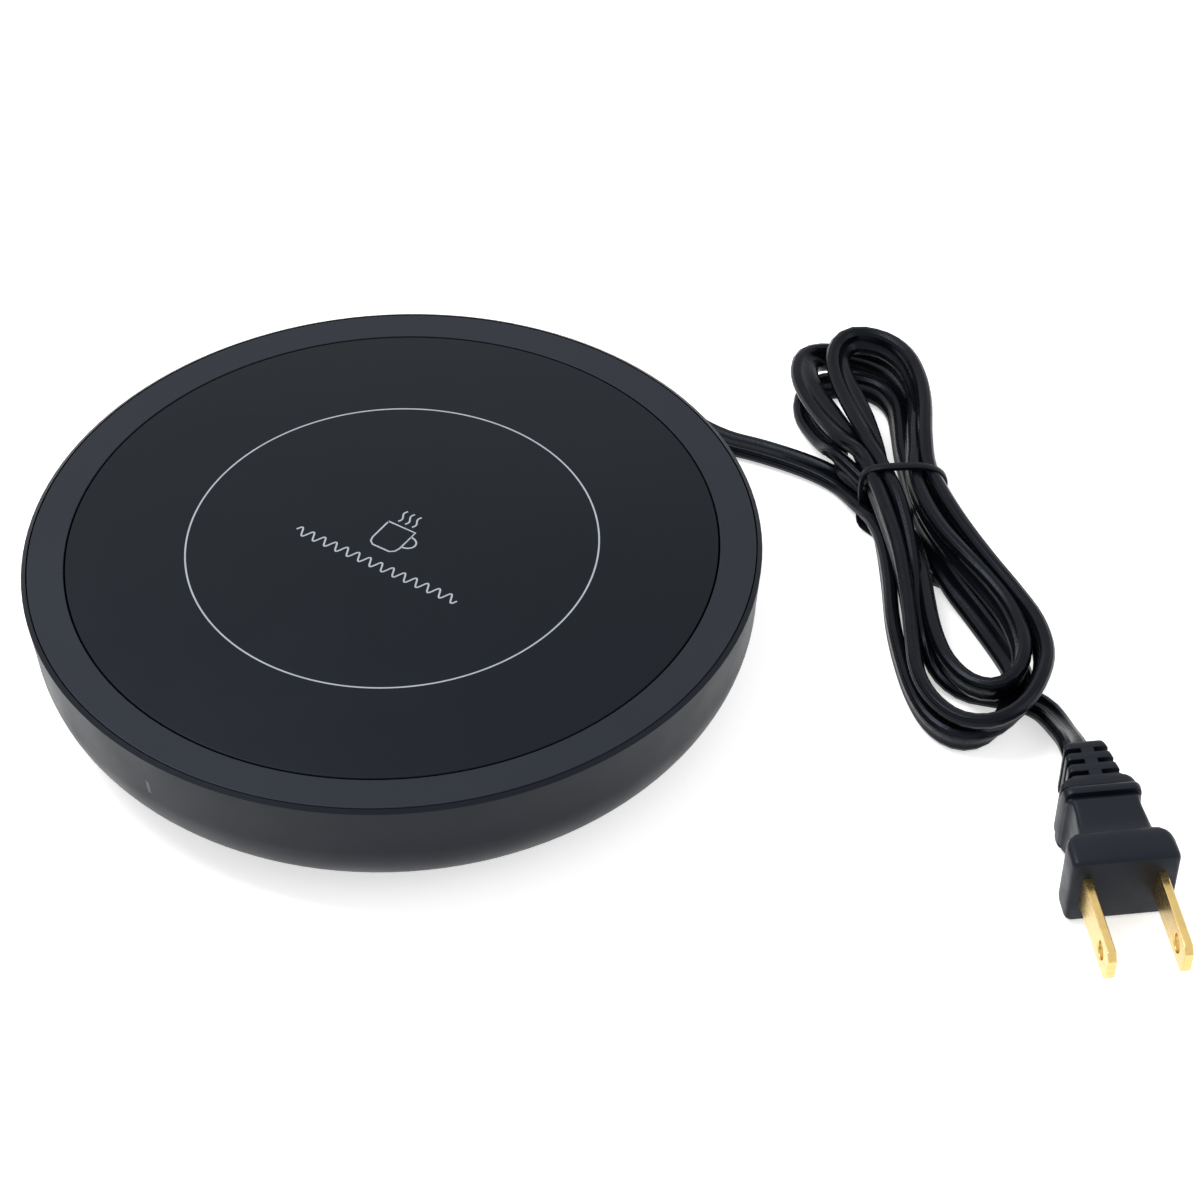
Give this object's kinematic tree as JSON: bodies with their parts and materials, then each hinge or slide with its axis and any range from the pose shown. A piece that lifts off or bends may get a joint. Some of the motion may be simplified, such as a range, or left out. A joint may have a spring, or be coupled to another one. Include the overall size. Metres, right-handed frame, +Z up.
{
  "type": "electric mug warmer",
  "caption": "Low round electric mug warmer: a flush glass plate on springs closes a switch under a mug; flat lead folded and tied, with a flat-blade plug.",
  "frame": {"origin": "on the table, under the centre of the round base", "axes": "+Z up; -Y front, where the lamp is; +Y back, where the lead leaves; +X right"},
  "size_m": [0.2201, 0.1855, 0.025],
  "materials": {
    "shell_plastic": "satin",
    "bezel_plastic": "satin",
    "black_glass": "gloss",
    "silicone": "matte",
    "aluminium_sheet": "satin",
    "mica": "satin",
    "fibre_pad": "matte",
    "heat_plastic": "matte",
    "zinc_steel": "satin",
    "spring_steel": "satin",
    "ceramic": "satin",
    "fuse_metal": "satin",
    "glass_fibre": "matte",
    "white_insulation": "satin",
    "grey_insulation": "satin",
    "black_insulation": "satin",
    "red_insulation": "satin",
    "switch_plastic": "satin",
    "plunger_plastic": "gloss",
    "brass_blade": "satin",
    "circuit_board": "satin",
    "lamp_body": "gloss",
    "resistor_body": "satin",
    "lens_plastic": "gloss",
    "cord_sheath": "satin",
    "plug_sheath": "satin",
    "tie_wire": "satin",
    "foot_rubber": "matte"
  },
  "bodies": {
    "housing": {"base_shell": "shell_plastic", "bezel_frame": "bezel_plastic", "return_springs": "spring_steel", "plate_wires": "grey_insulation", "switch_body": "switch_plastic", "lever_pin": "zinc_steel", "switch_terminals": "brass_blade", "switch_screws": "zinc_steel", "live_wire": "black_insulation", "lamp_wires": "red_insulation", "lamp_board": "circuit_board", "lamp_led": "lamp_body", "lamp_resistor": "resistor_body", "lamp_lens": "lens_plastic", "crimp_sleeves": "brass_blade", "cord_inner": "cord_sheath", "cord_clamp": "heat_plastic", "clamp_screws": "zinc_steel", "cord_bushing": "plug_sheath", "housing_screws": "zinc_steel", "rubber_feet": "foot_rubber", "cord_lead": "cord_sheath", "cord_hank": "cord_sheath", "cord_tail": "cord_sheath", "cord_tie": "tie_wire", "plug_body": "plug_sheath", "plug_blades": "brass_blade"},
    "warming_plate": {"glass_plate": "black_glass", "glass_seal": "silicone", "heat_spreader": "aluminium_sheet", "heater_element": "mica", "insulation_pad": "fibre_pad", "plate_carrier": "heat_plastic", "guide_screws": "zinc_steel", "thermostat": "ceramic", "thermal_fuse": "fuse_metal", "fuse_sleeve": "glass_fibre", "sensor_strap": "zinc_steel", "strap_screws": "zinc_steel", "element_links": "white_insulation"},
    "lever": {"switch_lever": "spring_steel"},
    "plunger": {"switch_plunger": "plunger_plastic"}
  },
  "joints": [
    {"name": "plate_press", "type": "slide", "parent": "housing", "child": "warming_plate", "axis": [0, 0, -1], "range_m": [0, 0.001], "stiffness_N_per_m": 700, "springref_m": -0.0032, "deforming": ["return_springs", "plate_wires"]},
    {"name": "lever_swing", "type": "hinge", "parent": "housing", "child": "lever", "pos_m": [-0.032, 0, 0.0094], "axis": [0, 1, 0], "range_deg": [0, 6.5]},
    {"name": "plunger_slide", "type": "slide", "parent": "housing", "child": "plunger", "axis": [0, 0, -1], "range_m": [0, 0.00055]}
  ],
  "couplings": [
    {"joint": "lever_swing", "follows": "plate_press", "rad_per_m": 111.11},
    {"joint": "plunger_slide", "follows": "plate_press", "ratio": 0.5}
  ]
}
